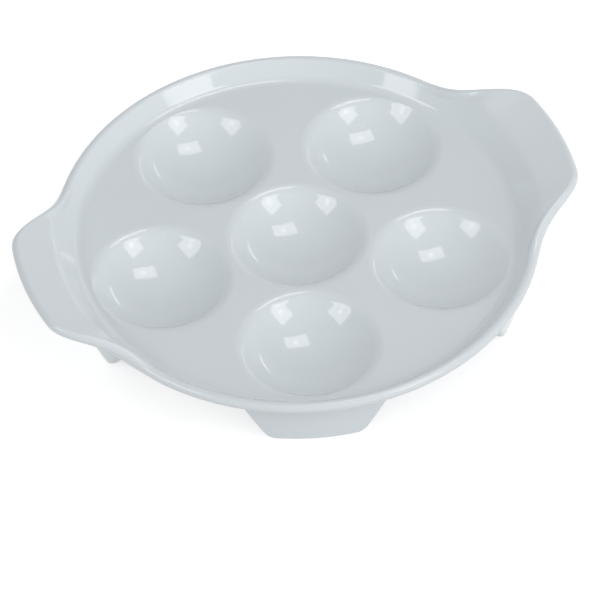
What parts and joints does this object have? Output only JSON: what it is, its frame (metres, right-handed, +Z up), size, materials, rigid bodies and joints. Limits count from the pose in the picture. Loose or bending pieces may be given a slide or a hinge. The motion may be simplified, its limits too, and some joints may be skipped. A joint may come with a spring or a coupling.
{
  "type": "escargot dish",
  "caption": "Round white porcelain dish with bowl-shaped wells for snails, a low rounded rim, a lifted lug handle on each side and tab feet.",
  "frame": {"origin": "on the table plane under the middle of the dish", "axes": "+Z up, +X along the line of the two handles, -Y towards the front"},
  "size_m": [0.203, 0.1726, 0.033],
  "materials": {
    "glaze": "glossy white glaze"
  },
  "bodies": {
    "root": {"tray_floor": "glaze", "rim_wall": "glaze", "rim_lip_front": "glaze", "rim_lip_back": "glaze", "handle_left": "glaze", "handle_right": "glaze", "well_middle": "glaze", "well_1": "glaze", "well_2": "glaze", "well_3": "glaze", "well_4": "glaze", "well_5": "glaze", "foot_1": "glaze", "foot_2": "glaze", "foot_3": "glaze", "foot_4": "glaze", "foot_5": "glaze"}
  },
  "joints": []
}
